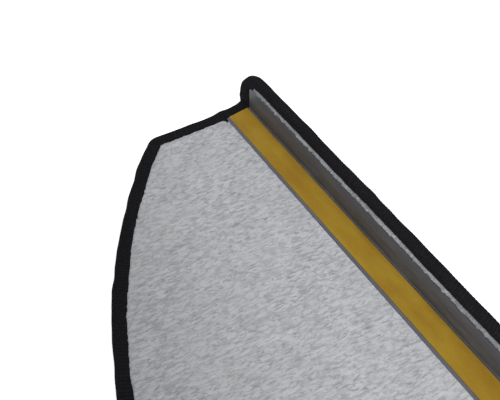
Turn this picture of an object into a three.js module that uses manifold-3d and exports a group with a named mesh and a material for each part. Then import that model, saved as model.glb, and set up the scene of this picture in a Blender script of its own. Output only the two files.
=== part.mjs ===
// Half-round stair tread mat, lying on its pile with the felt back and the nosing lip facing up.
// Millimetres, +Z up. The origin is on the ground under the middle of the mat's outline, +X runs along
// the nosing and +Y points out past the lip, so half a turn about X puts the mat on its step.

import * as THREE from 'three';
import { mergeVertices } from 'three/addons/utils/BufferGeometryUtils.js';
import Module from 'manifold-3d';

const wasm = await Module();
wasm.setup();

// Outline of the mat, measured over the whipped edge
const MAT_LENGTH = 650; // across the two shoulders, the longest part of the mat
const MAT_DEPTH = 250; // from the front of the lip to the middle of the back edge
const LIP_HEIGHT = 40; // from the felt of the tread to the top of the lip
const END_DEPTH = 87; // from the nosing corner back to the middle of each shoulder
const END_FLARE = 7; // how far a shoulder stands out past the fold
const LIP_FLARE = 6; // how far an end of the lip stands out past the fold
const FLARE_BEND_RADIUS = 80; // eases the square part of an end into its flared part
const LIP_CORNER_RADIUS = 32;

// Layers of the sheet
const PILE_THICKNESS = 5; // pile with the base cloth that it is tufted into
const FELT_THICKNESS = 2;
const SHEET_THICKNESS = PILE_THICKNESS + FELT_THICKNESS;
const SEAT_GAP = 0.3; // between the whipping and the sheet that it wraps

// Whipping, the band of yarn wound over the cut edge
const WHIP_REACH = 11; // from the outer edge in to where the yarn dives into the felt
const WHIP_CROWN = 1; // how far the yarn stands proud of the felt
const WHIP_UNDERLAY = 1; // yarn under the pressed-down rim of the pile
const WHIP_NOSE = 2.5; // yarn past the cut edge of the sheet
const WHIP_END_ROUND = 0.7; // rounding of the band's inner edges
const ROUND_SHARE = 0.8; // the most of a wall that this rounding takes
const WHIP_SHOULDER_RADIUS = 2; // of the band's inner edge round a shoulder
const WHIP_FOLD_RADIUS = 0.6; // of the band's crown in the fold

// Angle profile that stiffens the fold
const PROFILE_TREAD_LEG = 25;
const PROFILE_WALL = 1.2;
const PROFILE_INNER_RADIUS = 0.8;
const PROFILE_END_GAP = 0.4; // to the whipping at each end
const FELT_STRIP = 2.5; // felt left bare between the profile and the whipping of the lip
const SQUARE_MARGIN = 5; // how far an end stays square past the profile

// Double-sided tape and its release liner, on the tread leg
const TAPE_THICKNESS = 0.5;
const LINER_THICKNESS = 0.2;
const LINER_EDGE_MARGIN = 2.2; // bare profile beside the leg's free edge
const LINER_CORNER_MARGIN = 2.2; // bare profile beside the inner corner
const LINER_OVERHANG = 0.2; // how far the liner passes the tape on each long side

// Facets
const BACK_STEPS = 24; // of half the back edge
const CORNER_STEPS = 9; // of a shoulder, and of each part of a lip corner
const BEND_STEPS = 3; // of the ease between square and flared end
const FOLD_STEPS = 8;
const NOSE_STEPS = 10; // of the whipping's round outer side
const FOLD_LAP = 3; // flat length that the fold shares with the tread and the lip

// Sizes that follow from those above
const whipHeight = SHEET_THICKNESS + WHIP_CROWN;
const foldRadius = WHIP_FOLD_RADIUS + WHIP_CROWN;
const treadDepth = MAT_DEPTH - SHEET_THICKNESS;
const foldHalf = MAT_LENGTH / 2 - END_FLARE;
const lipHalf = foldHalf + LIP_FLARE;
const shoulderRadius = WHIP_REACH + WHIP_SHOULDER_RADIUS;
const squareRun = PROFILE_TREAD_LEG + SQUARE_MARGIN;
const lipTop = SHEET_THICKNESS + LIP_HEIGHT;
const lipStart = SHEET_THICKNESS + foldRadius;
const whipInnerHalf = foldHalf - WHIP_REACH;
const profileLength = 2 * (whipInnerHalf - PROFILE_END_GAP);
const profileLipLeg = LIP_HEIGHT - WHIP_REACH - FELT_STRIP;
const linerWidth = PROFILE_TREAD_LEG - PROFILE_WALL - LINER_EDGE_MARGIN - LINER_CORNER_MARGIN;
const nosingY = MAT_DEPTH / 2 - SHEET_THICKNESS; // of the nosing corner in the finished frame

const X = new THREE.Vector3(1, 0, 0);
const Y = new THREE.Vector3(0, 1, 0);
const UP = new THREE.Vector3(0, 0, 1);
const ACROSS = new THREE.Vector3(0, -1, 0);

// A point of the mat's outer edge, on the pile face, with the way out of the mat, the way to the felt and
// how far in the whipping reaches there
function edgePoint(origin, outward, normal, reach = WHIP_REACH) {
  return { origin, outward, normal, reach };
}

// Evenly spaced points of the tread's edge along a circle, from one angle to another, both included. The
// side is 1 where the mat lies inside the circle and -1 where it lies outside.
function treadArc(centre, radius, from, to, steps, side = 1) {
  const points = [];
  for (let i = 0; i <= steps; i++) {
    const angle = THREE.MathUtils.lerp(from, to, i / steps);
    const ray = new THREE.Vector3(Math.cos(angle), Math.sin(angle), 0);
    const origin = centre.clone().addScaledVector(ray, radius);
    points.push(edgePoint(origin, ray.multiplyScalar(side), UP));
  }
  return points;
}

// Half of the tread's edge, from the middle of the back to the start of the fold: one great arc that rolls
// into the shoulder, then a straight flared side that eases into the square end beside the profile
function treadEdge() {
  const shoulder = new THREE.Vector3(MAT_LENGTH / 2 - shoulderRadius, -END_DEPTH, 0);
  const drop = treadDepth - END_DEPTH;
  const backRadius = (shoulder.x ** 2 + drop ** 2 - shoulderRadius ** 2) / (2 * (drop - shoulderRadius));
  const backCentre = new THREE.Vector3(0, backRadius - treadDepth, 0);
  const shoulderStart = Math.atan2(shoulder.y - backCentre.y, shoulder.x - backCentre.x);

  const bend = new THREE.Vector3(foldHalf, -squareRun, 0);
  const toShoulder = shoulder.clone().sub(bend);
  const flare = Math.asin(shoulderRadius / toShoulder.length()) + Math.atan2(toShoulder.x, -toShoulder.y);
  const bendTangent = FLARE_BEND_RADIUS * Math.tan(flare / 2);
  const bendCentre = new THREE.Vector3(foldHalf + FLARE_BEND_RADIUS, bend.y + bendTangent, 0);

  return [
    ...treadArc(backCentre, backRadius, -Math.PI / 2, shoulderStart, BACK_STEPS).slice(0, -1),
    ...treadArc(shoulder, shoulderRadius, shoulderStart, flare, CORNER_STEPS),
    ...treadArc(bendCentre, FLARE_BEND_RADIUS, Math.PI + flare, Math.PI, BEND_STEPS, -1),
    edgePoint(new THREE.Vector3(foldHalf, -foldRadius, 0), X, UP),
  ];
}

// Direction from the pile to the felt at an angle of the fold, 0 in the tread and a quarter turn in the lip
function foldNormal(angle) {
  return new THREE.Vector3(0, -Math.sin(angle), Math.cos(angle));
}

// A point of the fold's cross-section, at a height above the pile face
function foldPoint(angle, height) {
  const centre = new THREE.Vector3(0, -foldRadius, lipStart);
  return centre.addScaledVector(foldNormal(angle), height - SHEET_THICKNESS - foldRadius);
}

// The edge through the fold at one end of the mat, where it eases out to the wider lip while the inner
// edge of the whipping runs straight on beside the profile
function foldEdge() {
  const points = [];
  for (let i = 1; i <= FOLD_STEPS; i++) {
    const angle = (Math.PI / 2) * (i / FOLD_STEPS);
    const flare = LIP_FLARE * Math.sin(angle);
    const origin = foldPoint(angle, 0).setX(foldHalf + flare);
    points.push(edgePoint(origin, X, foldNormal(angle), WHIP_REACH + flare));
  }
  return points;
}

// Half of the lip's edge, round its corner to the middle of the nosing. The whipping fills the corner up
// to the end of the profile, and runs back to its own width along the top.
function lipEdge() {
  const centre = new THREE.Vector3(lipHalf - LIP_CORNER_RADIUS, SHEET_THICKNESS, lipTop - LIP_CORNER_RADIUS);
  const toInnerSide = whipInnerHalf - centre.x;
  const toProfileTop = SHEET_THICKNESS + profileLipLeg + PROFILE_END_GAP - centre.z;
  const profileCorner = Math.atan2(toProfileTop, toInnerSide);

  const points = [];
  for (let i = 0; i < CORNER_STEPS; i++) {
    const angle = profileCorner * (i / CORNER_STEPS);
    points.push(lipCornerPoint(centre, angle, toInnerSide / Math.cos(angle)));
  }
  for (let i = 0; i <= CORNER_STEPS; i++) {
    const angle = THREE.MathUtils.lerp(profileCorner, Math.PI / 2, i / CORNER_STEPS);
    const clear = toProfileTop / Math.sin(angle);
    points.push(lipCornerPoint(centre, angle, Math.max(clear, LIP_CORNER_RADIUS - WHIP_REACH)));
  }
  points.push(edgePoint(new THREE.Vector3(0, SHEET_THICKNESS, lipTop), UP, ACROSS));
  return points;
}

// A point of a lip corner, with the whipping reaching in to a given distance from the corner's centre
function lipCornerPoint(centre, angle, innerDistance) {
  const ray = new THREE.Vector3(Math.cos(angle), 0, Math.sin(angle));
  const origin = centre.clone().addScaledVector(ray, LIP_CORNER_RADIUS);
  return edgePoint(origin, ray, ACROSS, LIP_CORNER_RADIUS - innerDistance);
}

// The other half of a run of edge points, walked back from where the first half ended
function mirrored(points) {
  return points
    .map((p) =>
      edgePoint(
        p.origin.clone().setX(-p.origin.x),
        p.outward.clone().setX(-p.outward.x),
        p.normal,
        p.reach
      )
    )
    .reverse();
}

// A closed geometry as a manifold solid
function toSolid(geometry) {
  const bare = geometry.clone();
  bare.deleteAttribute('normal');
  bare.deleteAttribute('uv');
  const merged = mergeVertices(bare);
  const mesh = new wasm.Mesh({
    numProp: 3,
    vertProperties: new Float32Array(merged.attributes.position.array),
    triVerts: new Uint32Array(merged.index.array),
  });
  return new wasm.Manifold(mesh);
}

// A manifold solid as a geometry
function toGeometry(solid) {
  const mesh = solid.getMesh();
  const geometry = new THREE.BufferGeometry();
  geometry.setAttribute('position', new THREE.BufferAttribute(new Float32Array(mesh.vertProperties), 3));
  geometry.setIndex(new THREE.BufferAttribute(new Uint32Array(mesh.triVerts), 1));
  geometry.computeVertexNormals();
  return geometry;
}

// A flat outline as a prism: its first axis, second axis and thickness run along the three given ways
function prism(outline, thickness, first, second, through, start) {
  const shape = new THREE.Shape(outline);
  const geometry = new THREE.ExtrudeGeometry(shape, { depth: thickness, bevelEnabled: false });
  const placing = new THREE.Matrix4().makeBasis(first, second, through);
  placing.setPosition(through.clone().multiplyScalar(start));
  return geometry.applyMatrix4(placing);
}

// The cross-section of a layer through the fold, with a short flat on both sides
function foldSection(low, high) {
  const inside = [];
  const outside = [];
  for (let i = 0; i <= FOLD_STEPS; i++) {
    const angle = (Math.PI / 2) * (i / FOLD_STEPS);
    const upper = foldPoint(angle, high);
    const lower = foldPoint(angle, low);
    inside.push(new THREE.Vector2(upper.y, upper.z));
    outside.push(new THREE.Vector2(lower.y, lower.z));
  }
  const treadLap = -foldRadius - FOLD_LAP;
  const lipLap = lipStart + FOLD_LAP;
  return [
    new THREE.Vector2(treadLap, low),
    ...outside,
    new THREE.Vector2(SHEET_THICKNESS - low, lipLap),
    new THREE.Vector2(SHEET_THICKNESS - high, lipLap),
    ...inside.reverse(),
    new THREE.Vector2(treadLap, high),
  ];
}

// How far in from the outer edge the sheet ends, pressed in the whipping or clear of it
const gripped = () => WHIP_NOSE + SEAT_GAP;
const clearOfWhipping = (edge) => edge.reach + SEAT_GAP;

// One layer of the folded sheet, set in from the mat's outer edge, between two heights above the pile face
function sheetLayer(insetAt, low, high) {
  const thickness = high - low;
  const inside = (edge) => edge.origin.clone().addScaledVector(edge.outward, -insetAt(edge));

  const treadRun = treadEdge();
  const treadOutline = [...treadRun, ...mirrored(treadRun).slice(0, -1)]
    .map(inside)
    .map((p) => new THREE.Vector2(p.x, p.y));
  const tread = toSolid(prism(treadOutline, thickness, X, Y, UP, low));

  const lipRun = [foldEdge().at(-1), ...lipEdge()];
  const lipOutline = [...lipRun, ...mirrored(lipRun).slice(1)]
    .map(inside)
    .map((p) => new THREE.Vector2(p.x, p.z));
  const lip = toSolid(prism(lipOutline, thickness, X, UP, ACROSS, low - SHEET_THICKNESS));

  const foldWidth = 2 * inside(treadRun.at(-1)).x;
  const fold = toSolid(prism(foldSection(low, high), foldWidth, Y, UP, X, -foldWidth / 2));
  return tread.add(fold).add(lip);
}

// Cross-section of the whipping: inset from the outer edge, and height above the pile face
function whipSection(reach) {
  const nose = whipHeight / 2;
  const section = [];
  for (let i = 0; i <= NOSE_STEPS; i++) {
    const angle = Math.PI * (i / NOSE_STEPS);
    section.push([nose - nose * Math.sin(angle), nose + nose * Math.cos(angle)]);
  }
  const slotFloor = WHIP_UNDERLAY;
  const slotRoof = SHEET_THICKNESS + SEAT_GAP;
  const crownRound = Math.min(WHIP_END_ROUND, (whipHeight - slotRoof) * ROUND_SHARE);
  const footRound = Math.min(WHIP_END_ROUND, slotFloor * ROUND_SHARE);
  section.push([reach - footRound, 0]);
  section.push([reach, footRound]);
  section.push([reach, slotFloor]);
  section.push([WHIP_NOSE, slotFloor]);
  section.push([WHIP_NOSE, slotRoof]);
  section.push([reach, slotRoof]);
  section.push([reach, whipHeight - crownRound]);
  section.push([reach - crownRound, whipHeight]);
  return section;
}

// The band of yarn: one section carried once round the whole edge of the folded sheet
function whippingGeometry() {
  const half = [...treadEdge(), ...foldEdge(), ...lipEdge()];
  const ring = [...half, ...mirrored(half).slice(1, -1)];
  const positions = [];
  for (const { origin, outward, normal, reach } of ring) {
    for (const [inset, height] of whipSection(reach)) {
      const p = origin.clone().addScaledVector(outward, -inset).addScaledVector(normal, height);
      positions.push(p.x, p.y, p.z);
    }
  }
  const sides = positions.length / 3 / ring.length;
  const indices = [];
  for (let i = 0; i < ring.length; i++) {
    const next = (i + 1) % ring.length;
    for (let j = 0; j < sides; j++) {
      const beside = (j + 1) % sides;
      const a = i * sides + j;
      const b = i * sides + beside;
      const c = next * sides + beside;
      const d = next * sides + j;
      indices.push(a, b, c, a, c, d);
    }
  }
  const geometry = new THREE.BufferGeometry();
  geometry.setAttribute('position', new THREE.Float32BufferAttribute(positions, 3));
  geometry.setIndex(indices);
  geometry.computeVertexNormals();
  return geometry;
}

// Cross-section of the angle profile, with its outer corner eased clear of the felt's fold
function profileSection() {
  const outerRadius = foldRadius + SEAT_GAP;
  const innerY = -PROFILE_WALL - PROFILE_INNER_RADIUS;
  const innerZ = SHEET_THICKNESS + PROFILE_WALL + PROFILE_INNER_RADIUS;
  const section = new THREE.Shape();
  section.moveTo(-PROFILE_TREAD_LEG, SHEET_THICKNESS);
  section.lineTo(-outerRadius, SHEET_THICKNESS);
  section.absarc(-outerRadius, SHEET_THICKNESS + outerRadius, outerRadius, -Math.PI / 2, 0, false);
  section.lineTo(0, SHEET_THICKNESS + profileLipLeg);
  section.lineTo(-PROFILE_WALL, SHEET_THICKNESS + profileLipLeg);
  section.lineTo(-PROFILE_WALL, innerZ);
  section.absarc(innerY, innerZ, PROFILE_INNER_RADIUS, 0, -Math.PI / 2, true);
  section.lineTo(-PROFILE_TREAD_LEG, SHEET_THICKNESS + PROFILE_WALL);
  return section.getPoints(FOLD_STEPS / 2);
}

function material(color, roughness) {
  return new THREE.MeshStandardMaterial({ color, roughness, metalness: 0 });
}

const mat = new THREE.Group();
mat.position.y = nosingY;

function addPiece(name, geometry, finish, y = 0, z = 0) {
  const piece = new THREE.Mesh(geometry, finish);
  piece.name = name;
  piece.position.set(0, y, z);
  mat.add(piece);
}

// Carpet: the base cloth and pile, pressed thin where the whipping grips its rim
const pressedRim = sheetLayer(gripped, WHIP_UNDERLAY + SEAT_GAP, PILE_THICKNESS);
const fullPile = sheetLayer(clearOfWhipping, 0, PILE_THICKNESS);
addPiece('carpet_pile', toGeometry(pressedRim.add(fullPile)), material(0x2f3135, 0.95));

// Needled felt bonded to the back of the carpet
const felt = sheetLayer(gripped, PILE_THICKNESS, SHEET_THICKNESS);
addPiece('felt_backing', toGeometry(felt), material(0xa8a9ad, 0.95));

addPiece('whipped_edge', whippingGeometry(), material(0x1c1c1d, 0.9));

// Angle profile glued into the fold
const profile = prism(profileSection(), profileLength, Y, UP, X, -profileLength / 2);
addPiece('angle_profile', profile, material(0x5f6166, 0.4));

// Tape on the tread leg, and the liner that is peeled off when the mat is laid
const linerY = -PROFILE_WALL - LINER_CORNER_MARGIN - linerWidth / 2;
const tapeZ = SHEET_THICKNESS + PROFILE_WALL + TAPE_THICKNESS / 2;
const linerZ = SHEET_THICKNESS + PROFILE_WALL + TAPE_THICKNESS + LINER_THICKNESS / 2;
const tapeWidth = linerWidth - 2 * LINER_OVERHANG;
const tape = new THREE.BoxGeometry(profileLength, tapeWidth, TAPE_THICKNESS);
addPiece('adhesive_tape', tape, material(0xd8d6cc, 0.5), linerY, tapeZ);
const liner = new THREE.BoxGeometry(profileLength, linerWidth, LINER_THICKNESS);
addPiece('release_liner', liner, material(0x987c2d, 0.45), linerY, linerZ);

export default mat;
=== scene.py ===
# A half-round stair tread mat, lying on its pile with its felt back and its folded lip facing up.
# Metres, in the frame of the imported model: +X along the nosing, +Y out past the lip, +Z up.
import math

import bpy
import numpy as np
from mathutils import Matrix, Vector, kdtree, noise


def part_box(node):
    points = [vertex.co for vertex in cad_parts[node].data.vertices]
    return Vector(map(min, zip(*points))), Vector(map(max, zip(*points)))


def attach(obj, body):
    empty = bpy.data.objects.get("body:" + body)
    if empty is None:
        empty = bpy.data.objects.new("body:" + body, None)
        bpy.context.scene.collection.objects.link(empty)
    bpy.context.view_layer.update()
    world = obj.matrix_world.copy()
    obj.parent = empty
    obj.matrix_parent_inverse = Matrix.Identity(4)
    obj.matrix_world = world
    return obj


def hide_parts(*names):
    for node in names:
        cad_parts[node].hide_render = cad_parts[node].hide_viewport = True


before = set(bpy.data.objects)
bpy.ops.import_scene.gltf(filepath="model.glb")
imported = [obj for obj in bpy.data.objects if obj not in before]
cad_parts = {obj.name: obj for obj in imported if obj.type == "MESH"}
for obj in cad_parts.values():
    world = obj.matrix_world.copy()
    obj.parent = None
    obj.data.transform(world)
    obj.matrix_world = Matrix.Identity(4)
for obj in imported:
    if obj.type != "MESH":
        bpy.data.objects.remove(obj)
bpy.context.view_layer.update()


# The photograph's camera stands over the middle of the mat and looks along it, down at one end.
# Its place and tilt come from the straight edges of the angle profile. It is 0.4 m above the felt.
CAMERA_PLACE = (-0.0026, -0.0910, 0.4050)
CAMERA_TILT = 55.93  # degrees down from level
CAMERA_HEADING = 55.55  # degrees from +Y towards -X
CAMERA_LENS = 43.2  # millimetres
CAMERA_SENSOR = 36  # millimetres wide
NEAREST_SEEN = 0.01  # metres from the camera

camera_data = bpy.data.cameras.new("camera")
camera_data.sensor_width = CAMERA_SENSOR
camera_data.lens = CAMERA_LENS
camera_data.clip_start = NEAREST_SEEN
camera = bpy.data.objects.new("camera", camera_data)
camera.location = CAMERA_PLACE
camera.rotation_euler = (math.radians(90 - CAMERA_TILT), 0, math.radians(CAMERA_HEADING))
bpy.context.scene.collection.objects.link(camera)
bpy.context.scene.camera = camera


# The pile is the face that is walked on: rows of low dark grey loops, tufted into a base cloth. It lies
# face down here and turns up the front of the lip. The whipping grips its rim and presses it thin.
# Nothing of it shows in the photograph, so its loops and colour are those of such mats.
MM = 0.001
mat_low, mat_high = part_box("whipped_edge")
profile_low, profile_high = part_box("angle_profile")
felt_z = profile_low.z  # the felt's face on the tread
corner_y = profile_high.y  # the felt's face on the lip
pile_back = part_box("felt_backing")[0].z  # where the pile's base cloth meets the felt

SHOULDER_BACK = 87 * MM  # from the nosing corner back to the middle of a shoulder
SHOULDER_RADIUS = 13 * MM
SIDE_EASE_RADIUS = 80 * MM  # between the square and the flared part of an end
SQUARE_RUN = 30 * MM  # of an end, beside the profile
LIP_FLARE = 6 * MM  # how far an end of the lip stands out past the fold
LIP_CORNER_RADIUS = 32 * MM
FOLD_RADIUS = 1.6 * MM  # of the felt inside the fold
WHIP_REACH = 11 * MM  # from the mat's edge in to where the yarn dives into the felt
LIP_TOP_REACH = 9.9 * MM  # the same along the top of the lip
LIP_CORNER_WIDENING = 4.3 * MM  # for each radian round the lip's corner from there
WHIP_NOSE = 2.5 * MM  # yarn past the cut edge of the sheet
WHIP_UNDERLAY = 1 * MM  # yarn under the pressed rim of the pile
PROFILE_GAP = 0.4 * MM  # between the profile and the whipping
SEAT_GAP = 0.3 * MM  # between the whipping and the sheet that it grips
SNIP_LENGTH = 7 * MM  # of the slanted cut that takes the profile's top corner off
SNIP_DROP = 2.8 * MM
EDGE_STEP = 1 * MM  # between points along a curved stretch of the edge
FEWEST_ARC_POINTS = 3
FOLD_POINTS = 9  # along the edge where it goes through the fold
TINY = 1e-9  # keeps a division from ending at nothing

fold_half = profile_high.x + PROFILE_GAP + WHIP_REACH
back_s = mat_low.y - corner_y
fold_start = -FOLD_RADIUS
fold_neutral = FOLD_RADIUS + felt_z / 2
fold_end = fold_start + fold_neutral * math.pi / 2
lip_top = fold_end + mat_high.z - felt_z - FOLD_RADIUS
profile_top = fold_end + profile_high.z - felt_z - FOLD_RADIUS


def fold_sheet(x, s, t):
    """Places in space of points of the flat blank. s is the way up it, 0 at the nosing corner and falling
    towards the back, and t is the height above the face of the pile."""
    angle = np.clip((s - fold_start) / fold_neutral, 0, math.pi / 2)
    radius = FOLD_RADIUS + felt_z - t
    y = corner_y + np.minimum(s, fold_start) + radius * np.sin(angle)
    z = felt_z + FOLD_RADIUS + np.maximum(s - fold_end, 0) - radius * np.cos(angle)
    return np.stack(np.broadcast_arrays(x, y, z), -1)


def edge_arc(centre_x, centre_s, radius, start, end, side=1, reach=None):
    """Rows of x, s, way out in x, way out in s, and reach of the whipping, along an arc of the edge."""
    steps = max(FEWEST_ARC_POINTS, round(abs(end - start) * radius / EDGE_STEP))
    angle = np.linspace(start, end, steps)
    along_x, along_s = np.cos(angle), np.sin(angle)
    reaches = np.full(steps, WHIP_REACH) if reach is None else reach(angle)
    x = centre_x + radius * along_x
    s = centre_s + radius * along_s
    return np.stack([x, s, side * along_x, side * along_s, reaches], 1)


def snip_at(x):
    """How far the snipped corner has taken the profile's top edge down."""
    return SNIP_DROP * np.clip(1 - (profile_high.x - np.abs(x)) / SNIP_LENGTH, 0, 1)


def lip_corner_reach(angle):
    """The whipping fills a lip corner up to the profile, and narrows to its own width on top."""
    rise = np.maximum(np.sin(angle), TINY)
    beside = (fold_half - WHIP_REACH - lip_centre_x) / np.maximum(np.cos(angle), TINY)
    above = (profile_top + PROFILE_GAP - lip_centre_s) / rise
    above = above - snip_at(lip_centre_x + above * np.cos(angle)) / rise
    own_width = LIP_TOP_REACH + LIP_CORNER_WIDENING * (math.pi / 2 - angle)
    above = np.maximum(above, LIP_CORNER_RADIUS - own_width)
    return LIP_CORNER_RADIUS - np.where(beside < above, beside, above)


shoulder_x = mat_high.x - SHOULDER_RADIUS
drop = -back_s - SHOULDER_BACK
back_radius = (shoulder_x**2 + drop**2 - SHOULDER_RADIUS**2) / (2 * (drop - SHOULDER_RADIUS))
back_centre_s = back_s + back_radius
shoulder_start = math.atan2(-SHOULDER_BACK - back_centre_s, shoulder_x)
side_x, side_s = shoulder_x - fold_half, SHOULDER_BACK - SQUARE_RUN
side_lean = math.asin(SHOULDER_RADIUS / math.hypot(side_x, side_s)) + math.atan2(side_x, side_s)
ease_length = SIDE_EASE_RADIUS * math.tan(side_lean / 2)
lip_half = fold_half + LIP_FLARE
lip_centre_x = lip_half - LIP_CORNER_RADIUS
lip_centre_s = lip_top - LIP_CORNER_RADIUS


def fold_edge():
    """The edge through the fold, where it eases out to the wider lip."""
    angle = np.linspace(0, math.pi / 2, FOLD_POINTS)
    flare = LIP_FLARE * np.sin(angle)
    ones = np.ones_like(angle)
    s = fold_start + fold_neutral * angle
    return np.stack([fold_half + flare, s, ones, 0 * ones, WHIP_REACH + flare], 1)


half_edge = np.concatenate([
    edge_arc(0, back_centre_s, back_radius, -math.pi / 2, shoulder_start)[:-1],
    edge_arc(shoulder_x, -SHOULDER_BACK, SHOULDER_RADIUS, shoulder_start, side_lean),
    edge_arc(fold_half + SIDE_EASE_RADIUS, ease_length - SQUARE_RUN, SIDE_EASE_RADIUS,
             math.pi + side_lean, math.pi, side=-1),
    fold_edge(),
    edge_arc(lip_centre_x, lip_centre_s, LIP_CORNER_RADIUS, 0, math.pi / 2, reach=lip_corner_reach),
    [[0, lip_top, 0, 1, LIP_TOP_REACH]],
])
other_half = (half_edge * [-1, 1, -1, 1, 1])[::-1]
whole_edge = np.concatenate([half_edge, other_half[1:]])
edge_run = np.concatenate([[0], np.cumsum(np.hypot(*np.diff(whole_edge[:, :2], axis=0).T))])


def edge_at(run):
    """The edge's rows at distances along it from the middle of the back."""
    rows = np.stack([np.interp(run, edge_run, column) for column in whole_edge.T], -1)
    rows[..., 2:4] /= np.hypot(rows[..., 2], rows[..., 3])[..., None]
    return rows


edge_points = edge_at(np.arange(0, edge_run[-1], EDGE_STEP))
edge_tree = kdtree.KDTree(len(edge_points))
for n, edge_point in enumerate(edge_points):
    edge_tree.insert((edge_point[0], edge_point[1], 0), n)
edge_tree.balance()


def past_whipping(x, s):
    """How far each point of the blank lies inside the line where the whipping ends."""
    gaps = np.empty(x.size)
    for n, (a, b) in enumerate(zip(x.ravel(), s.ravel())):
        _, nearest, far = edge_tree.find((a, b, 0))
        gaps[n] = far - edge_points[nearest, 4]
    return gaps.reshape(x.shape)


def ripple(size_x, size_s, x, s, layer):
    """Smooth noise from about -1 to 1, with lumps of the given sizes."""
    places = zip((x / size_x).ravel(), (s / size_s).ravel())
    return np.array([noise.noise(Vector((a, b, layer))) for a, b in places]).reshape(x.shape)


def inset_edge(inset):
    """The half edge moved in, as its round back and its side up to the end of the lip's corner."""
    inner = half_edge[:-1, :2] - inset * half_edge[:-1, 2:4]
    widest = inner[:, 1].searchsorted(-SHOULDER_BACK)
    return inner[:widest + 1], inner[widest:]


def tread_grid(inset, columns, rows, front):
    """x and s of a grid over the tread. Its rows bend as the back edge does, and the front one is
    straight."""
    back, side = inset_edge(inset)
    across = np.linspace(-1, 1, columns + 1)[None]
    up = np.linspace(0, 1, rows + 1)[:, None]
    back_row = np.interp(np.abs(across * back[-1, 0]), back[:, 0], back[:, 1])
    x = across * np.interp(back[-1, 1] + up * (front - back[-1, 1]), side[:, 1], side[:, 0])
    return x, back_row + up * (front - back_row)


def lip_grid(inset, columns, rows_at):
    """x and s of a grid over the front of the blank, with straight rows at the given places."""
    _, side = inset_edge(inset)
    rising = np.maximum.accumulate(side[:, 1])
    s = np.asarray(rows_at)[:, None]
    x = np.linspace(-1, 1, columns + 1)[None] * np.interp(s, rising, side[:, 0])
    return x, np.broadcast_to(s, x.shape).copy()


def sheet_mesh(name, x, s, face_t, back_t, straight_from):
    """A closed layer of the sheet: a fine grid on its face, and a few broad faces on its hidden back.
    The rows before straight_from bend, and one flat face backs them all."""
    rows, columns = x.shape
    index = np.arange(rows * columns).reshape(rows, columns)
    rim = np.concatenate([index[0], index[1:, -1], index[-1, -2::-1], index[-2:0:-1, 0]])
    behind = {int(i): rows * columns + n for n, i in enumerate(rim)}
    quads = np.stack([index[:-1, :-1], index[:-1, 1:], index[1:, 1:], index[1:, :-1]], -1).reshape(-1, 4)
    faces = quads.tolist()
    faces += [[int(b), int(a), behind[int(a)], behind[int(b)]] for a, b in zip(rim, np.roll(rim, -1))]
    back_rows = [[behind[int(row[0])], behind[int(row[-1])]] for row in index]
    back_rows[0] = [behind[int(i)] for i in index[0]]
    back_rows[-1] = [behind[int(i)] for i in index[-1]]
    if straight_from:
        left = [row[0] for row in back_rows[1:straight_from]]
        right = [row[-1] for row in back_rows[1:straight_from]]
        faces.append(back_rows[0][::-1] + left + back_rows[straight_from] + right[::-1])
    for low, high in zip(back_rows[straight_from:], back_rows[straight_from + 1:]):
        faces.append(low[::-1] + high)
    if face_t.mean() < back_t:
        faces = [f[::-1] for f in faces]
    face = fold_sheet(x, s, face_t).reshape(-1, 3)
    back = fold_sheet(x, s, np.full_like(x, back_t)).reshape(-1, 3)[rim]
    mesh = bpy.data.meshes.new(name)
    mesh.from_pydata(np.concatenate([face, back]).tolist(), [], faces)
    mesh.polygons.foreach_set("use_smooth", [True] * len(quads) + [False] * (len(faces) - len(quads)))
    return mesh


def add_shade(mesh, values):
    """Keeps a value from 0 to 1 on the first points of a mesh, for its material to read as "shade"."""
    shade = mesh.attributes.new("shade", "FLOAT", "POINT")
    on_points = np.full(len(mesh.vertices), 0.5)
    on_points[:values.size] = np.clip(values.ravel(), 0, 1)
    shade.data.foreach_set("value", on_points)


def add_piece(name, mesh, material, stands_for):
    """Puts a mesh in the scene as a piece of the mat, in place of a CAD node."""
    mesh.materials.append(material)
    piece = bpy.data.objects.new(name, mesh)
    bpy.context.scene.collection.objects.link(piece)
    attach(piece, "root")
    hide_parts(stands_for)
    return piece


def srgb(red, green, blue):
    """A colour as it looks, in 0 to 255, as Blender's linear values."""
    shares = [c / 255 for c in (red, green, blue)]
    return tuple(c / 12.92 if c <= 0.04045 else ((c + 0.055) / 1.055) ** 2.4 for c in shares) + (1,)


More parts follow.
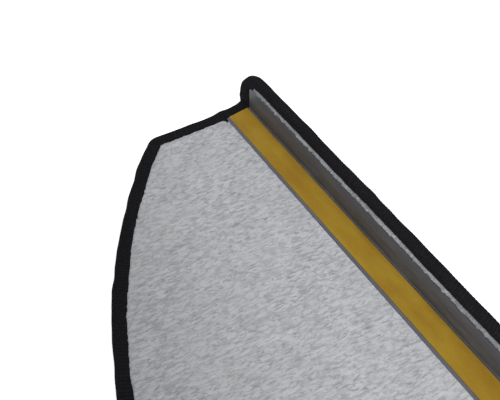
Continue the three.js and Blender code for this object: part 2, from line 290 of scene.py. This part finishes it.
class Finish:
    """A material with the nodes that this mat's finishes are made of."""

    def __init__(self, name, roughness, specular, sheen=0):
        self.material = bpy.data.materials.new(name)
        self.material.use_nodes = True
        self.nodes = self.material.node_tree.nodes
        self.links = self.material.node_tree.links
        self.shader = self.nodes["Principled BSDF"]
        self.shader.inputs["Roughness"].default_value = roughness
        self.shader.inputs["Specular IOR Level"].default_value = specular
        self.shader.inputs["Sheen Weight"].default_value = sheen
        self.place = self.nodes.new("ShaderNodeTexCoord").outputs["Object"]

    def grain(self, sizes, detail=2, turn=0, tangle=0):
        """Noise with grains of the given sizes in X, Y and Z, in millimetres, bent about by tangle."""
        mapping = self.nodes.new("ShaderNodeMapping")
        mapping.vector_type = "TEXTURE"
        mapping.inputs["Rotation"].default_value = (0, 0, math.radians(turn))
        mapping.inputs["Scale"].default_value = [size * MM for size in sizes]
        grains = self.nodes.new("ShaderNodeTexNoise")
        grains.inputs["Scale"].default_value = 1
        grains.inputs["Detail"].default_value = detail
        grains.inputs["Distortion"].default_value = tangle
        self.links.new(self.place, mapping.inputs["Vector"])
        self.links.new(mapping.outputs[0], grains.inputs["Vector"])
        return grains.outputs["Fac"]

    def shade(self):
        """The value kept on the points of the mesh."""
        attribute = self.nodes.new("ShaderNodeAttribute")
        attribute.attribute_name = "shade"
        return attribute.outputs["Fac"]

    def ramp(self, value, low, high):
        """A value stretched so that low becomes 0 and high becomes 1."""
        stretch = self.nodes.new("ShaderNodeMapRange")
        stretch.inputs["From Min"].default_value = low
        stretch.inputs["From Max"].default_value = high
        self.links.new(value, stretch.inputs["Value"])
        return stretch.outputs["Result"]

    def blend(self, value, low, high):
        """A colour, or another node's colour, from low to high as the value goes from 0 to 1."""
        mix = self.nodes.new("ShaderNodeMix")
        mix.data_type = "RGBA"
        self.links.new(value, mix.inputs["Factor"])
        for socket, colour in ((mix.inputs[6], low), (mix.inputs[7], high)):
            if isinstance(colour, tuple):
                socket.default_value = colour
            else:
                self.links.new(colour, socket)
        return mix.outputs[2]

    def colour(self, output):
        """Gives the finish its colour from a node."""
        self.links.new(output, self.shader.inputs["Base Color"])

    def bump(self, *grains):
        """Bumps from pairs of a value and its height in millimetres."""
        normal = None
        for value, height in grains:
            bump = self.nodes.new("ShaderNodeBump")
            bump.inputs["Distance"].default_value = height * MM
            self.links.new(value, bump.inputs["Height"])
            if normal:
                self.links.new(normal, bump.inputs["Normal"])
            normal = bump.outputs["Normal"]
        self.links.new(normal, self.shader.inputs["Normal"])


LOOP_ROWS = 47  # across the tread, from the back to the fold
LOOP_SPACING = 4.4 * MM  # along a row
LOOP_HEIGHT = 1.2 * MM
LOWEST_LOOP = 0.7  # as a share of the highest
LOOP_FULLNESS = 0.6  # a lower power makes the loops fuller
LIP_LOOP_ROWS = 15  # at least as many as go on up the lip
LOOPS_IN_ROW = 160  # at least as many as the longest row holds
RANDOM_SEED = 7
RIM_EASE = 1 * MM  # from the pressed rim to the free pile
GROUND_PAINTED_SHADE = 0.3  # painted shade of the low ground, beside a loop's top
DARKEST_LOOP = 0.6  # beside the lightest
PILE_COLUMNS = 480
PILE_ROWS = 188
NOSING_COLUMNS = 820
NOSING_ROWS = 66
chance = np.random.default_rng(RANDOM_SEED)
row_pitch = (fold_start - back_s) / LOOP_ROWS
loop_table = (LOOP_ROWS + LIP_LOOP_ROWS, LOOPS_IN_ROW)
loop_heights = chance.uniform(LOWEST_LOOP, 1, loop_table)
loop_shades = chance.uniform(0, 1, loop_table)


def loops_at(x, s):
    """Height of the loops over the low ground between them, from 0 to 1, and each loop's own shade."""
    row = np.floor((s - back_s) / row_pitch).astype(int)
    across = (s - back_s) / row_pitch - row - 0.5
    shifted = (x - mat_low.x) / LOOP_SPACING + 0.5 * (row % 2)
    place = np.floor(shifted).astype(int)
    along = shifted - place - 0.5
    round_off = np.clip(1 - (2 * across) ** 2, 0, 1) * np.clip(1 - (2 * along) ** 2, 0, 1)
    return loop_heights[row, place] * round_off**LOOP_FULLNESS, loop_shades[row, place]


def pile_piece(name, grid, straight_from):
    """Makes one of the two pieces of pile, with its rim pressed thin under the whipping."""
    x, s = grid
    heights, own_shades = loops_at(x, s)
    free = np.clip((past_whipping(x, s) - SEAT_GAP) / RIM_EASE, 0, 1)
    gripped = WHIP_UNDERLAY + SEAT_GAP
    face = np.maximum(gripped * (1 - free), LOOP_HEIGHT * (1 - heights) * free)
    mesh = sheet_mesh(name, x, s, face, pile_back, straight_from)
    # Painted shade: the low ground between loops is painted darker and the loop tops paler. Each loop's
    # own shade is random tone.
    painted_shade_by_height = GROUND_PAINTED_SHADE + (1 - GROUND_PAINTED_SHADE) * heights
    add_shade(mesh, painted_shade_by_height * (DARKEST_LOOP + (1 - DARKEST_LOOP) * own_shades))
    piece = add_piece(name, mesh, pile_finish.material, "carpet_pile")


STRAND_DARK = srgb(30, 32, 36)
STRAND_PALE = srgb(50, 52, 57)
LOOP_TOP_PAINTED_LIGHT = srgb(82, 84, 90)
pile_finish = Finish("dark grey loop pile", roughness=0.95, specular=0.15, sheen=0.15)
yarn_strands = pile_finish.grain((0.5, 1.2, 1.2), detail=3)
strands = pile_finish.blend(pile_finish.ramp(yarn_strands, 0.35, 0.7), STRAND_DARK, STRAND_PALE)
# Painted light on the loop tops, over the strands.
pile_finish.colour(pile_finish.blend(pile_finish.shade(), strands, LOOP_TOP_PAINTED_LIGHT))
pile_finish.bump((yarn_strands, 0.25))

sheet_inset = WHIP_NOSE + SEAT_GAP
pile_piece("pile_of_tread", tread_grid(sheet_inset, PILE_COLUMNS, PILE_ROWS, fold_start), PILE_ROWS)
nosing_rows = np.linspace(fold_start, lip_top - sheet_inset, NOSING_ROWS + 1)
pile_piece("pile_of_nosing", lip_grid(sheet_inset, NOSING_COLUMNS, nosing_rows), 0)


# The felt backing is one sheet of pale grey needled fibre, two millimetres thick, bonded to the back of
# the carpet. Its face is matted and creased. The stitches draw it down beside the whipping, and on the
# lip a narrow roll of it swells up between the profile and the whipping.
FELT_COLUMNS = 680
FELT_ROWS = 116
FELT_LUMP = 0.25 * MM  # height of the matted lumps
COARSE_LUMPS = (3.6 * MM, 9 * MM)  # size across and along the felt's streaks
FINE_LUMPS = (1.8 * MM, 5 * MM)
FELT_CREASE = 0.22 * MM  # depth of the creases between them
CREASES = (3.4 * MM, 10 * MM)
CREASE_WIDTH = 0.13  # a lower value makes them narrower
FELT_DRAW = 0.45 * MM  # how far the stitches draw the felt down
DRAW_WIDTH = 2.5 * MM
SWELL = 2.1 * MM  # of the roll on the lip
ROLL_END = 5.5 * MM  # from an end of the profile to where the roll runs out
ROLL_TAPER = 3 * MM  # over which it does
COARSE_TUFTS = (2.6 * MM, 2 * MM)  # of the roll, along and up it
FINE_TUFTS = (1.5 * MM, 1 * MM)
PRESS = 0.05 * MM  # how far the profile presses into the felt
STREAK_LEAN = 0.12  # how far the felt's streaks lean towards +X for each step towards the lip
SOILED_PATCHES = (15 * MM, 22 * MM)
FELT_SHADE = 0.83  # of level felt, from 0 at its darkest to 1
LUMP_PAINTED_LIGHT = 0.09  # how much paler the lumps are painted: painted light on their tops
CREASE_PAINTED_SHADE = 0.29  # how much darker the creases are painted: painted shade in them
SOIL_SHADE = 0.1  # how much the soiled patches differ
ROLL_PAINTED_SHADE = 0.88  # how much darker the roll is painted: painted shade between the profile and the whipping
TUFT_PAINTED_LIGHT = 1.2  # how much paler its tufts are painted: painted light on them, painted shade between them
STEP_WIDTH = 0.3 * MM  # in which the felt steps down beneath the profile
FLAT_STEP = 1 * MM  # from such a step to the next row under the profile
ROW_UNDER_PROFILE = -10 * MM  # a place up the blank
UNDER_YARN = 0.5 * MM  # how far the rows of the roll go on under the whipping
FOLD_ROWS = 6
ROLL_ROWS = 12

profile_back = profile_low.y - corner_y
straight_rows = np.concatenate([
    [profile_back + FLAT_STEP, ROW_UNDER_PROFILE],
    np.linspace(fold_start, fold_end, FOLD_ROWS),
    [profile_top - FLAT_STEP],
    np.linspace(profile_top - PRESS, lip_top - LIP_TOP_REACH + UNDER_YARN, ROLL_ROWS),
    [lip_top - WHIP_REACH / 2, lip_top - sheet_inset],
])
felt_x, felt_s = tread_grid(sheet_inset, FELT_COLUMNS, FELT_ROWS, profile_back - STEP_WIDTH)
front_x, front_s = lip_grid(sheet_inset, FELT_COLUMNS, straight_rows)
felt_x = np.concatenate([felt_x, front_x])
felt_s = np.concatenate([felt_s, front_s])


def felt_lumps(x, s):
    """Height of the matted lumps, from about -1 to 1, and the depth of the creases, from 0 to 1."""
    leaning = x - STREAK_LEAN * s
    heights = 0.5 * ripple(*COARSE_LUMPS, leaning, s, layer=3.1)
    heights += 0.6 * ripple(*FINE_LUMPS, leaning, s, layer=8.7)
    from_crease = ripple(*CREASES, leaning, s, layer=5.3) / CREASE_WIDTH
    return heights, np.exp(-(from_crease**2))


lumps, crease = felt_lumps(felt_x, felt_s)
felt_free = np.sin(np.clip(past_whipping(felt_x, felt_s) / DRAW_WIDTH, 0, 1) * math.pi / 2)
felt_height = felt_z + (FELT_LUMP * lumps - FELT_CREASE * crease) * felt_free
felt_height -= FELT_DRAW * (1 - felt_free)
by_profile = (np.abs(felt_x) < profile_high.x) & (felt_s > profile_back)
felt_height = np.where(by_profile & (felt_s < profile_top), felt_z - PRESS, felt_height)
up_strip = np.clip((felt_s - profile_top) / (lip_top - LIP_TOP_REACH - profile_top), 0, 1)
taper = np.clip((profile_high.x - ROLL_END - np.abs(felt_x)) / ROLL_TAPER, 0, 1)
rolled = SWELL * np.sqrt(np.sin(up_strip * math.pi) * taper)
tufts = 1 + 0.4 * ripple(*COARSE_TUFTS, felt_x, felt_s, layer=1.7)
tufts += 0.45 * ripple(*FINE_TUFTS, felt_x, felt_s, layer=6.1)
on_strip = by_profile & (felt_s > profile_top)
felt_height = np.where(on_strip, felt_z + rolled * tufts, felt_height)
felt_mesh = sheet_mesh("felt_back", felt_x, felt_s, felt_height, pile_back, FELT_ROWS)
# Painted light and shade: the lumps are painted paler and the creases darker. The soiled patches are
# random tone.
felt_shade = FELT_SHADE + LUMP_PAINTED_LIGHT * lumps - CREASE_PAINTED_SHADE * crease
felt_shade += SOIL_SHADE * ripple(*SOILED_PATCHES, felt_x, felt_s, layer=2.2)
# Painted shade: the roll on the lip is painted darker, and its tufts paler than the hollows between them.
felt_shade -= on_strip * (ROLL_PAINTED_SHADE - TUFT_PAINTED_LIGHT * (tufts - 1))
add_shade(felt_mesh, felt_shade)

FELT_DARK = srgb(118, 119, 122)
FELT_PALE = srgb(203, 204, 209)
PIT_PAINTED_SHADE = srgb(144, 145, 149)
PATCH_GREY = srgb(190, 190, 189)
felt_finish = Finish("pale needled felt", roughness=1, specular=0.08, sheen=0.1)
fibres = felt_finish.grain((1.7, 5.2, 1.7), detail=3, turn=-8, tangle=0.9)
wisps = felt_finish.grain((0.5, 1.6, 0.5), detail=2, turn=-12)
patches = felt_finish.grain((26, 34, 26), detail=1)
# The kept "shade" holds the felt's painted light and shade, as well as its random tone.
matted = felt_finish.blend(felt_finish.shade(), FELT_DARK, FELT_PALE)
# Painted shade: the fibres' pits, which the bump sinks, are painted darker.
pits = felt_finish.ramp(fibres, 0.27, 0.53)
fibrous = felt_finish.blend(pits, PIT_PAINTED_SHADE, matted)
felt_finish.colour(felt_finish.blend(felt_finish.ramp(patches, 0.35, 1.6), fibrous, PATCH_GREY))
felt_finish.bump((pits, 0.2), (wisps, 0.2))
felt_piece = add_piece("felt_back", felt_mesh, felt_finish.material, "felt_backing")


# The whipped edge is thick black yarn wound over the cut edge, turn by turn, all round the mat and its
# lip. The turns lie close together, and each dives into the felt and comes up through the pile. They
# bunch up in the hollow corner where an end of the tread meets the lip.
YARN_PITCH = 2.6 * MM
YARN_ROUND = 0.26 * MM  # depth of the valleys between the turns
WHIP_CROWN = 1 * MM
TURN_STEPS = (0, 0.14, 0.32, 0.5, 0.68, 0.86)  # where each turn is sampled across its width
TURN_SLANT = 0.9  # how far a turn leans along the edge on its way round, in turns
TURN_SIZES = (0.75, 1.15)  # of the thinnest and the thickest turn
STITCH_SPREAD = 0.35 * MM  # how far a turn dives in past the even line, or falls short of it
STITCH_WAVE = 0.9 * MM  # height of the waves in that line
STITCH_WAVE_RUN = 25 * MM
TURN_TOP_PAINTED_LIGHT = 0.8  # painted light on top of a turn; the valleys between turns get painted shade
NOSE_POINTS = 9  # round the outer side
YARN_PROUD = 0.4 * MM  # how far the turns stand out past their even line
YARN_WAVE = 0.95 * MM  # height of the waves in the edge, doubled on the lip
YARN_WAVE_RUN = 13 * MM
BULGES = (  # fuller and flatter stretches: place from the fold's end, height and run, in millimetres
    (0, 2.1, 8), (14, 0.8, 8), (29, -0.9, 6), (42, -1.5, 9), (90, 0.7, 50), (195, 0.9, 10),
    (365, -1.6, 100), (-25, 1.5, 5), (-112, 1.2, 22), (-244, 0.9, 10), (-290, -0.8, 8))
HOOK = (-26.0 * MM, 4.2 * MM, 1.2 * MM)  # a turn that reaches in behind the profile's corner

fold_run = np.interp(0, np.maximum.accumulate(half_edge[:, 1]), edge_run[:len(half_edge)])
turns = round(edge_run[-1] / YARN_PITCH)
turn_width = edge_run[-1] / turns


def round_the_edge(run, size, layer):
    """Smooth noise along the edge that joins up with itself."""
    circle = edge_run[-1] / (2 * math.pi * size)
    angle = run / edge_run[-1] * 2 * math.pi
    return ripple(1, 1, circle * np.cos(angle), circle * np.sin(angle), layer)


def whip_section():
    """The band's cross-section, as rows of: share of the reach, inset past that, height, way out in inset
    and in height, and how much of the yarn's roundness shows there."""
    high = felt_z + WHIP_CROWN
    nose = high / 2
    rows = [
        (1, 0, felt_z - FELT_DRAW - PRESS, 1, 0, 0.2),
        (1, 0, felt_z + 0.3 * WHIP_CROWN, 0.8, 0.6, 0.8),
        (1, -1.1 * MM, felt_z + 0.93 * WHIP_CROWN, 0.3, 0.95, 1),
        (0.6, 0, high, 0, 1, 1),
    ]
    for angle in np.linspace(0, math.pi, NOSE_POINTS):
        out, up = math.sin(angle), math.cos(angle)
        rows.append((0, nose - nose * out, nose + nose * up, -out, up, 1))
    rows += [
        (0.6, 0, 0, 0, -1, 0.6),
        (1, -0.7 * MM, 0, 0, -1, 0.4),
        (1, 0, 0.7 * MM, 1, 0, 0.2),
        (1, 0, WHIP_UNDERLAY, 1, 0, 0),
        (0, WHIP_NOSE, WHIP_UNDERLAY, 0, 0, 0),
        (0, WHIP_NOSE, felt_z + 0.2 * MM, 0, 0, 0),
        (1, -0.6 * MM, felt_z + 0.2 * MM, 0, 0, 0),
    ]
    return np.array(rows)


def swelling(at, place, height, run):
    """A smooth rise to a height at one place, which fades out over a run to each side."""
    return height * np.exp(-(((at - place) / run) ** 2))


def whip_mesh():
    """The whole band of yarn as one closed ring of turns."""
    share, past, height, way_in, way_up, roundness = whip_section().T[:, None]
    steps = (np.arange(turns)[:, None] + np.array(TURN_STEPS)).reshape(-1, 1)
    within = np.tile(TURN_STEPS, turns)[:, None]
    sizes = chance.uniform(*TURN_SIZES, turns).repeat(len(TURN_STEPS))[:, None]
    stitch = chance.uniform(-STITCH_SPREAD, STITCH_SPREAD, turns).repeat(len(TURN_STEPS))[:, None]
    valley = 1 - np.sqrt(np.clip(1 - (2 * within - 1) ** 2, 0, 1))
    slant = TURN_SLANT * np.sin(np.linspace(-math.pi, math.pi, share.shape[1]))[None]
    run = ((steps + slant) * turn_width) % edge_run[-1]
    x, s, out_x, out_s, reach = np.moveaxis(edge_at(run), -1, 0)
    edge = round_the_edge(run[:, 0], YARN_WAVE_RUN, layer=129.97)[:, None]
    inner = round_the_edge(run[:, 0], STITCH_WAVE_RUN, layer=4.4)[:, None]
    reach = reach + STITCH_WAVE * inner + stitch + swelling(s, *HOOK)
    from_fold = np.minimum(run, edge_run[-1] - run) - fold_run
    bulging = sum(swelling(from_fold, *(MM * size for size in bulge)) for bulge in BULGES)
    wave = YARN_WAVE * edge * np.where(from_fold > 0, 2, 1)
    outer = np.clip(-way_in, 0, 1) * (YARN_PROUD + wave + bulging)
    dip = YARN_ROUND * valley * sizes * roundness
    inset = share * reach + past - dip * way_in - outer
    height = height - dip * way_up
    places = fold_sheet(x - inset * out_x, s - inset * out_s, height)
    rings, sides = inset.shape
    index = np.arange(rings * sides).reshape(rings, sides)
    after = np.roll(index, -1, 0)
    quads = np.stack([index, np.roll(index, -1, 1), np.roll(after, -1, 1), after], -1).reshape(-1, 4)
    mesh = bpy.data.meshes.new("whipped_yarn")
    mesh.from_pydata(places.reshape(-1, 3).tolist(), [], quads.tolist())
    mesh.polygons.foreach_set("use_smooth", [True] * len(quads))
    # Painted shade in the valleys between turns, and painted light on their tops, paler on thicker turns.
    add_shade(mesh, (1 - valley) * np.ones_like(inset) * sizes * TURN_TOP_PAINTED_LIGHT)
    return mesh


VALLEY_PAINTED_SHADE = srgb(20, 20, 22)
FIBRE_BLACK = srgb(15, 15, 17)
FIBRE_GREY = srgb(35, 35, 38)
yarn_finish = Finish("black whipping yarn", roughness=0.95, specular=0.08)
yarn_fibres = yarn_finish.grain((1.1, 1.1, 1.1), detail=4)
soft_black = yarn_finish.blend(yarn_finish.ramp(yarn_fibres, 0.35, 0.65), FIBRE_BLACK, FIBRE_GREY)
# Painted shade in the valleys, blending to the fibres' colour on the turns' tops.
yarn_finish.colour(yarn_finish.blend(yarn_finish.shade(), VALLEY_PAINTED_SHADE, soft_black))
yarn_finish.bump((yarn_fibres, 0.3))
add_piece("whipped_yarn", whip_mesh(), yarn_finish.material, "whipped_edge")


# The angle profile is an extruded strip of grey plastic with satin faces, glued into the fold to hold
# the lip square. The die leaves faint lines along it. Its ends are cut plain, with the top corner of the
# lip's leg snipped off.
PROFILE_WALL = 1.2 * MM
PROFILE_INNER_RADIUS = 0.8 * MM
PROFILE_EDGE_RADIUS = 0.2 * MM
CORNER_PAINT_REACH = 24 * MM  # from the inner corner to where the painted shade and painted reflection in it have faded out
END_TRIM = 0.15 * MM  # by which the cut ends are eased
ROUNDING_POINTS = 6  # in each rounded corner of the section
PROFILE_STATIONS = 41
SMOOTH_UP_TO = 40  # degrees between faces that are shaded as one


def corner_points(centre_y, centre_z, radius, start, end):
    """Points as y and z on a rounded corner, between two angles in degrees."""
    angles = np.radians(np.linspace(start, end, ROUNDING_POINTS))
    return [(centre_y + radius * math.cos(a), centre_z + radius * math.sin(a)) for a in angles]


def profile_section(x, shrink=0):
    """The L-shaped section as y and z, counter-clockwise seen from +X, drawn in by shrink."""
    back, front = profile_low.y + shrink, profile_high.y - shrink
    low, high = profile_low.z + shrink, profile_high.z - shrink - snip_at(x)
    wall = PROFILE_WALL - 2 * shrink
    edge = PROFILE_EDGE_RADIUS
    inner = PROFILE_INNER_RADIUS + shrink
    outer = PROFILE_INNER_RADIUS + PROFILE_WALL - shrink
    return (corner_points(back + edge, low + edge, edge, 180, 270)
            + corner_points(front - outer, low + outer, outer, 270, 360)
            + corner_points(front - edge, high - edge, edge, 0, 90)
            + corner_points(front - wall + edge, high - edge, edge, 90, 180)
            + corner_points(front - wall - inner, low + wall + inner, inner, 0, -90)
            + corner_points(back + edge, low + wall - edge, edge, 90, 180))


def run_along(name, sections):
    """A closed strip through sections, each given with its x, from one capped end to the other."""
    points = [(x, y, z) for x, section in sections for y, z in section]
    count = len(sections[0][1])
    faces = [list(range(count))[::-1], [len(points) - count + k for k in range(count)]]
    for row in range(len(sections) - 1):
        for k in range(count):
            a, b = row * count + k, row * count + (k + 1) % count
            faces.append([a, b, b + count, a + count])
    mesh = bpy.data.meshes.new(name)
    mesh.from_pydata(points, [], faces)
    mesh.shade_smooth()
    mesh.set_sharp_from_angle(angle=math.radians(SMOOTH_UP_TO))
    return mesh


inner_end = profile_high.x - SNIP_LENGTH
stations = np.linspace(-inner_end, inner_end, PROFILE_STATIONS)
stations = [profile_low.x + END_TRIM, *stations, profile_high.x - END_TRIM]
profile_sections = ([(profile_low.x, profile_section(profile_low.x, END_TRIM))]
                    + [(x, profile_section(x)) for x in stations]
                    + [(profile_high.x, profile_section(profile_high.x, END_TRIM))])
profile_mesh = run_along("fold_profile", profile_sections)
inner_corner = np.array([profile_high.y - PROFILE_WALL, profile_low.z + PROFILE_WALL])
section_points = np.array([section for _, section in profile_sections])
# Painted shade and painted reflection: the profile's colour goes darker and browner towards its inner
# corner.
add_shade(profile_mesh, np.linalg.norm(section_points - inner_corner, axis=-1) / CORNER_PAINT_REACH)

CORNER_PAINTED_SHADE = srgb(60, 58, 56)
LINE_DARK = srgb(55, 59, 68)
LINE_PALE = srgb(82, 86, 97)
SCUFF_GREY = srgb(84, 84, 88)
profile_finish = Finish("grey satin plastic", roughness=0.45, specular=0.45)
die_lines = profile_finish.grain((300, 2.4, 2.4), detail=4)
scuffs = profile_finish.grain((18, 6, 6), detail=3)
lined = profile_finish.blend(profile_finish.ramp(die_lines, 0.3, 0.7), LINE_DARK, LINE_PALE)
# Painted shade and a painted warm reflection of the liner near the inner corner, fading out to the
# die-lined grey.
corner_painted = profile_finish.blend(profile_finish.shade(), CORNER_PAINTED_SHADE, lined)
profile_finish.colour(profile_finish.blend(profile_finish.ramp(scuffs, 0.45, 0.9), corner_painted, SCUFF_GREY))
profile_finish.bump((die_lines, 0.06), (scuffs, 0.03))
add_piece("fold_profile", profile_mesh, profile_finish.material, "angle_profile")


# The tape is a milky strip with glue on both faces, pressed down along the profile's tread leg. Only its
# cut edges show, under the liner.
TAPE_ROUND = 0.15 * MM  # how far its soft edges draw in
TAPE_WAVER = 0.08 * MM  # how far its edges stray
TAPE_WAVER_RUN = 9 * MM
TAPE_POINTS = 9  # across its top
STRIP_STATIONS = 121


def strip_section(middle, half, low, high, draw):
    """A flat strip's section, whose sides draw in at top and bottom, with points across its top."""
    across = np.linspace(middle + half - draw, middle - half + draw, TAPE_POINTS)
    mid_height = (low + high) / 2
    return ([(middle - half + draw, low), (middle + half - draw, low), (middle + half, mid_height)]
            + [(y, high) for y in across] + [(middle - half, mid_height)])


tape_low, tape_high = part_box("adhesive_tape")
strip_middle = (tape_low.y + tape_high.y) / 2
strip_x = np.linspace(tape_low.x, tape_high.x, STRIP_STATIONS)
tape_half = (tape_high.y - tape_low.y) / 2
tape_halves = [tape_half + TAPE_WAVER * noise.noise(Vector((x / TAPE_WAVER_RUN, 0, 2))) for x in strip_x]
tape_sections = [(x, strip_section(strip_middle, half, tape_low.z, tape_high.z, TAPE_ROUND))
                 for x, half in zip(strip_x, tape_halves)]
TAPE_DULL = srgb(188, 183, 166)
TAPE_PALE = srgb(206, 202, 188)
tape_finish = Finish("milky tape", roughness=0.5, specular=0.4)
glue = tape_finish.grain((6, 2, 2), detail=2)
tape_finish.colour(tape_finish.blend(glue, TAPE_DULL, TAPE_PALE))
tape_finish.bump((glue, 0.05))
tape_mesh = run_along("glue_tape", tape_sections)
add_piece("glue_tape", tape_mesh, tape_finish.material, "adhesive_tape")


# The release liner is a strip of mustard yellow coated paper over the tape, a little wider than it. It is
# peeled off when the mat is laid. It lies nearly flat, with low waves where it has lifted off the glue.
LINER_WAVE = 0.1 * MM
LINER_WAVE_RUN = 34 * MM
LINER_WAVES_ACROSS = 0.9  # in half the liner's width
LINER_POINTS = 13  # across its top
liner_low, liner_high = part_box("release_liner")
liner_half = (liner_high.y - liner_low.y) / 2


def liner_section(x):
    """The liner's section: its underside rests on the tape, and its face rises in low waves."""
    bottom = [(strip_middle + side * liner_half, liner_low.z) for side in (-1, 1)]
    top = []
    for v in np.linspace(1, -1, LINER_POINTS):
        wave = 0.5 + noise.noise(Vector((x / LINER_WAVE_RUN, v * LINER_WAVES_ACROSS, 7)))
        lift = LINER_WAVE * max(wave, 0) * (1 - v**4)
        top.append((strip_middle + v * liner_half, liner_high.z + lift))
    return bottom + top


COAT_TINT = srgb(255, 226, 120)
HAZE_DARK = srgb(141, 106, 33)
HAZE_PALE = srgb(157, 127, 43)
PAPER_FLECK = srgb(164, 136, 50)
liner_finish = Finish("mustard coated paper", roughness=0.5, specular=0.35)
liner_finish.shader.inputs["Specular Tint"].default_value = COAT_TINT
cloudy = liner_finish.grain((30, 12, 12), detail=2)
paper = liner_finish.grain((1.5, 1.5, 1.5), detail=3)
hazy = liner_finish.blend(liner_finish.ramp(cloudy, 0.3, 0.7), HAZE_DARK, HAZE_PALE)
liner_finish.colour(liner_finish.blend(liner_finish.ramp(paper, 0.55, 0.9), hazy, PAPER_FLECK))
liner_finish.bump((paper, 0.02), (cloudy, 0.3))
liner_mesh = run_along("liner_strip", [(x, liner_section(x)) for x in strip_x])
add_piece("liner_strip", liner_mesh, liner_finish.material, "release_liner")


# A plain white floor, and soft light as in the photograph: a long lamp hangs over the fold and fades
# towards the round back, a small low one lights the face of the lip, and the surround is evenly pale.
FLOOR_SIZE = 8
FLOOR_WHITE = (0.8, 0.8, 0.8, 1)
FLOOR_GLOW = 0.75  # adds to what the lamps give the floor, up to white
SURROUND = 0.24
LAMPS = {  # place, what it points at, length and width in metres, watts
    "strip_light": ((-0.1, 0.08, 0.2), (-0.1, 0.079, 0.0), 0.8, 0.14, 0.69),
    "low_lamp": ((0.24, -0.32, 0.12), (-0.06, 0.1, 0.02), 0.25, 0.2, 1.45),
}
for lamp_name, (place, aim, length, width, watts) in LAMPS.items():
    lamp_data = bpy.data.lights.new(lamp_name, "AREA")
    lamp_data.shape = "RECTANGLE"
    lamp_data.size = length
    lamp_data.size_y = width
    lamp_data.energy = watts
    lamp = bpy.data.objects.new(lamp_name, lamp_data)
    lamp.location = place
    lamp.rotation_euler = (Vector(aim) - Vector(place)).to_track_quat("-Z", "Y").to_euler()
    lamp.visible_camera = False
    bpy.context.scene.collection.objects.link(lamp)


def camera_sees(nodes, links):
    """A node output that is 1 for what the camera sees, straight or by gloss or through glass."""
    path = nodes.new("ShaderNodeLightPath")
    either = nodes.new("ShaderNodeMath")
    either.operation = "MAXIMUM"
    links.new(path.outputs["Is Camera Ray"], either.inputs[0])
    links.new(path.outputs["Is Glossy Ray"], either.inputs[1])
    all_three = nodes.new("ShaderNodeMath")
    all_three.operation = "MAXIMUM"
    links.new(either.outputs[0], all_three.inputs[0])
    links.new(path.outputs["Is Transmission Ray"], all_three.inputs[1])
    return all_three.outputs[0]


def floor_material():
    """White to the camera, apart from the mat's shadow on it."""
    material = bpy.data.materials.new("white floor")
    material.use_nodes = True
    nodes, links = material.node_tree.nodes, material.node_tree.links
    nodes.clear()
    output = nodes.new("ShaderNodeOutputMaterial")
    matt = nodes.new("ShaderNodeBsdfDiffuse")
    matt.inputs["Color"].default_value = FLOOR_WHITE
    glow = nodes.new("ShaderNodeEmission")
    glow.inputs["Strength"].default_value = FLOOR_GLOW
    seen = nodes.new("ShaderNodeAddShader")
    choose = nodes.new("ShaderNodeMixShader")
    links.new(matt.outputs[0], seen.inputs[0])
    links.new(glow.outputs[0], seen.inputs[1])
    links.new(camera_sees(nodes, links), choose.inputs[0])
    links.new(matt.outputs[0], choose.inputs[1])
    links.new(seen.outputs[0], choose.inputs[2])
    links.new(choose.outputs[0], output.inputs[0])
    return material


half_floor = FLOOR_SIZE / 2
floor_mesh = bpy.data.meshes.new("floor")
floor_mesh.from_pydata([(-half_floor, -half_floor, 0), (half_floor, -half_floor, 0),
                        (half_floor, half_floor, 0), (-half_floor, half_floor, 0)], [], [(0, 1, 2, 3)])
floor_mesh.materials.append(floor_material())
floor = bpy.data.objects.new("floor", floor_mesh)
bpy.context.scene.collection.objects.link(floor)

world = bpy.data.worlds.new("surround")
bpy.context.scene.world = world
world.use_nodes = True
sky_nodes, sky_links = world.node_tree.nodes, world.node_tree.links
background = sky_nodes["Background"]
background.inputs["Color"].default_value = (1, 1, 1, 1)
sky_mix = sky_nodes.new("ShaderNodeMix")
sky_mix.inputs[2].default_value = SURROUND
sky_mix.inputs[3].default_value = 1
sky_links.new(camera_sees(sky_nodes, sky_links), sky_mix.inputs[0])
sky_links.new(sky_mix.outputs[0], background.inputs["Strength"])
bpy.context.scene.view_settings.view_transform = "Standard"
